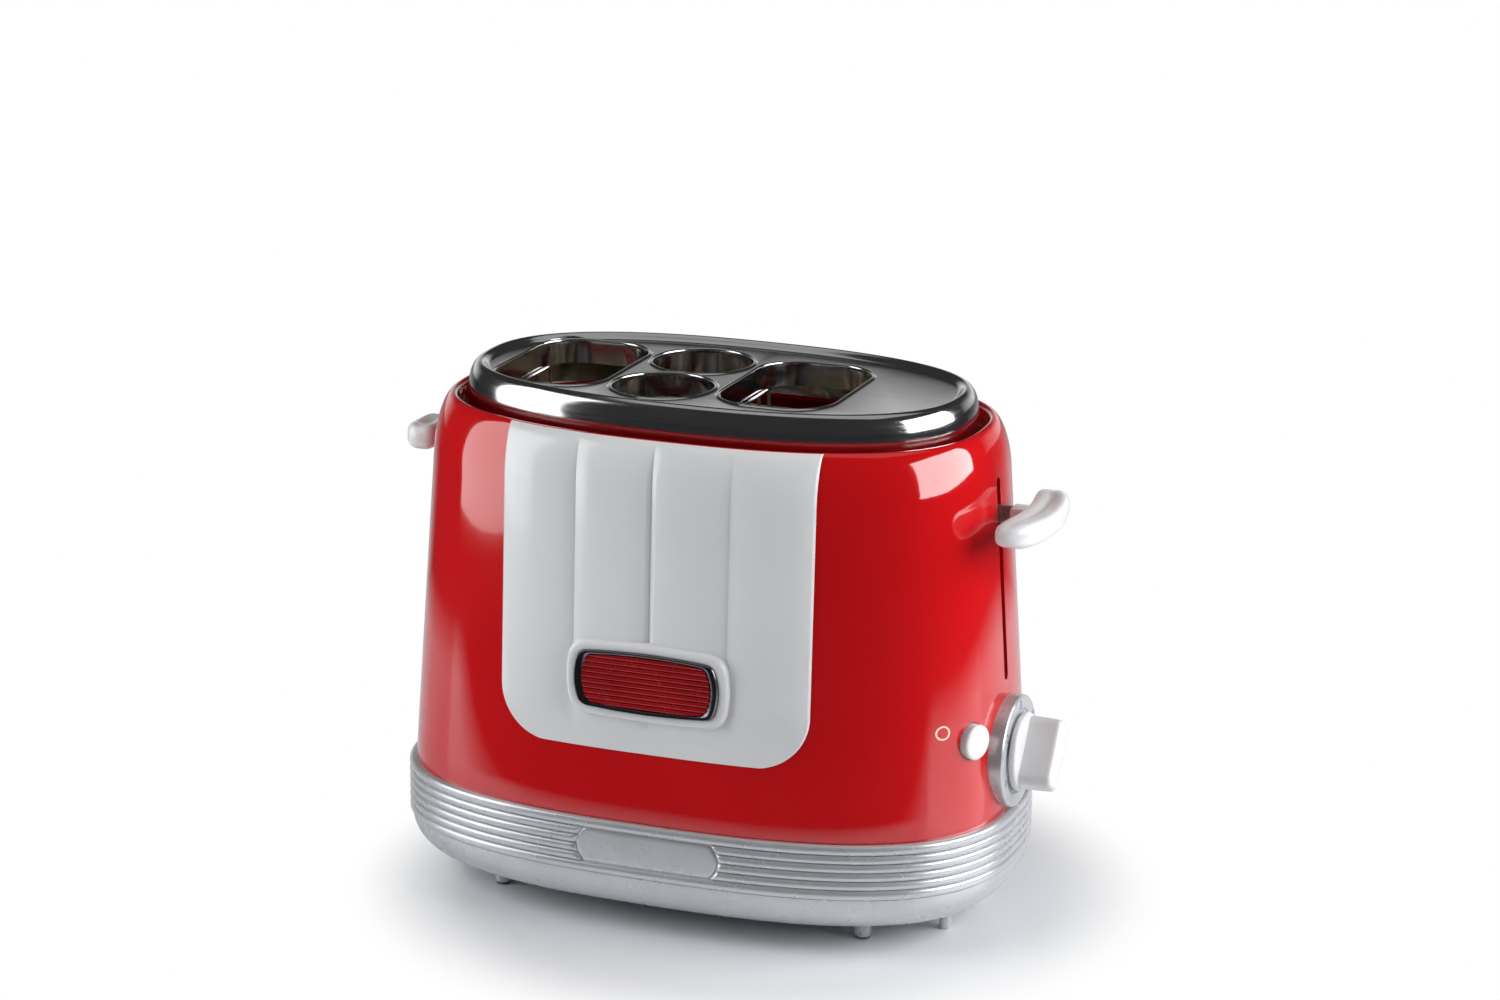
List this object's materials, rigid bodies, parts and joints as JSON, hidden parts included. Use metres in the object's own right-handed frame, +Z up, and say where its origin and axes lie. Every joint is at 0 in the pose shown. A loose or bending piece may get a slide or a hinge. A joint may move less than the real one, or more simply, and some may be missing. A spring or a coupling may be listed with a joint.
{
  "type": "hot dog toaster",
  "caption": "Oval retro hot dog toaster with wells for buns and sausages, a lever at each end, a numbered dial, a stop button and a crumb tray.",
  "frame": {"origin": "on the table, under the middle of the whole toaster with its levers and knob", "axes": "+X along the toaster towards the dial end, +Y to the back, away from the white panel, +Z up"},
  "size_m": [0.2904, 0.1639, 0.2216],
  "materials": {
    "red_gloss": "red, glossy",
    "white_gloss": "white, glossy",
    "silver_satin": "silver paint, satin",
    "badge_dark": "dark chromed plastic",
    "badge_red": "deep red, ribbed",
    "polished_steel": "polished and finely brushed",
    "sheet_steel": "zinc-plated sheet",
    "mica": "mica board with ribbon",
    "dark_plastic": "moulded, matt",
    "board_green": "printed circuit board"
  },
  "bodies": {
    "toaster": {"housing": "red_gloss", "front_panel": "white_gloss", "badge_frame": "badge_dark", "badge_insert": "badge_red", "top_plate": "polished_steel", "top_rim": "polished_steel", "well_collars": "polished_steel", "base_shell": "silver_satin", "base_plaque": "silver_satin", "bottom_cover": "dark_plastic", "feet": "silver_satin", "end_posts": "silver_satin", "chassis_left": "sheet_steel", "chassis_right": "sheet_steel", "heat_shield_front": "sheet_steel", "heat_shield_back": "sheet_steel", "heater_left_outer": "mica", "heater_left_inner": "mica", "heater_right_inner": "mica", "heater_right_outer": "mica", "bun_guard_left": "polished_steel", "bun_guard_right": "polished_steel", "guide_rod_left": "polished_steel", "guide_rod_right": "polished_steel", "circuit_board": "board_green", "potentiometer": "dark_plastic", "stop_switch": "dark_plastic", "bun_latch_magnet": "dark_plastic", "sausage_latch_magnet": "dark_plastic", "dial_ring": "silver_satin", "cord_gland": "dark_plastic", "terminal_block": "white_gloss", "tray_runners": "dark_plastic", "cover_screws": "polished_steel", "chassis_screws": "polished_steel", "bun_spring": "sheet_steel", "sausage_spring": "sheet_steel"},
    "bun_carriage": {"bun_slider": "dark_plastic", "bun_rail": "sheet_steel", "bun_cradle_left": "polished_steel", "bun_cradle_right": "polished_steel", "bun_lever_arm": "sheet_steel", "bun_lever": "white_gloss", "bun_keeper": "sheet_steel"},
    "sausage_carriage": {"sausage_slider": "dark_plastic", "sausage_frame": "sheet_steel", "sausage_cups": "polished_steel", "sausage_lever_arm": "sheet_steel", "sausage_lever": "white_gloss", "sausage_keeper": "sheet_steel"},
    "dial": {"dial_knob": "white_gloss", "dial_shaft": "sheet_steel"},
    "stop_button": {"stop_button": "white_gloss"},
    "tray": {"crumb_tray": "sheet_steel", "tray_front": "silver_satin"}
  },
  "joints": [
    {"name": "bun_lift", "type": "slide", "parent": "toaster", "child": "bun_carriage", "axis": [0, 0, 1], "range_m": [-0.065, 0.0105], "stiffness_N_per_m": 80, "springref_m": 0.01, "deforming": ["bun_spring"]},
    {"name": "sausage_lift", "type": "slide", "parent": "toaster", "child": "sausage_carriage", "axis": [0, 0, 1], "range_m": [-0.06, 0], "stiffness_N_per_m": 80, "springref_m": 0.03, "deforming": ["sausage_spring"]},
    {"name": "dial_turn", "type": "hinge", "parent": "toaster", "child": "dial", "pos_m": [0.13005, 0, 0.074], "axis": [1, 0, 0], "range_deg": [-100, 170]},
    {"name": "stop_press", "type": "slide", "parent": "toaster", "child": "stop_button", "axis": [-0.9326, 0.3608, 0], "range_m": [0, 0.0025], "stiffness_N_per_m": 500, "springref_m": -0.0005},
    {"name": "tray_slide", "type": "slide", "parent": "toaster", "child": "tray", "axis": [0, 1, 0], "range_m": [0, 0.12]}
  ]
}
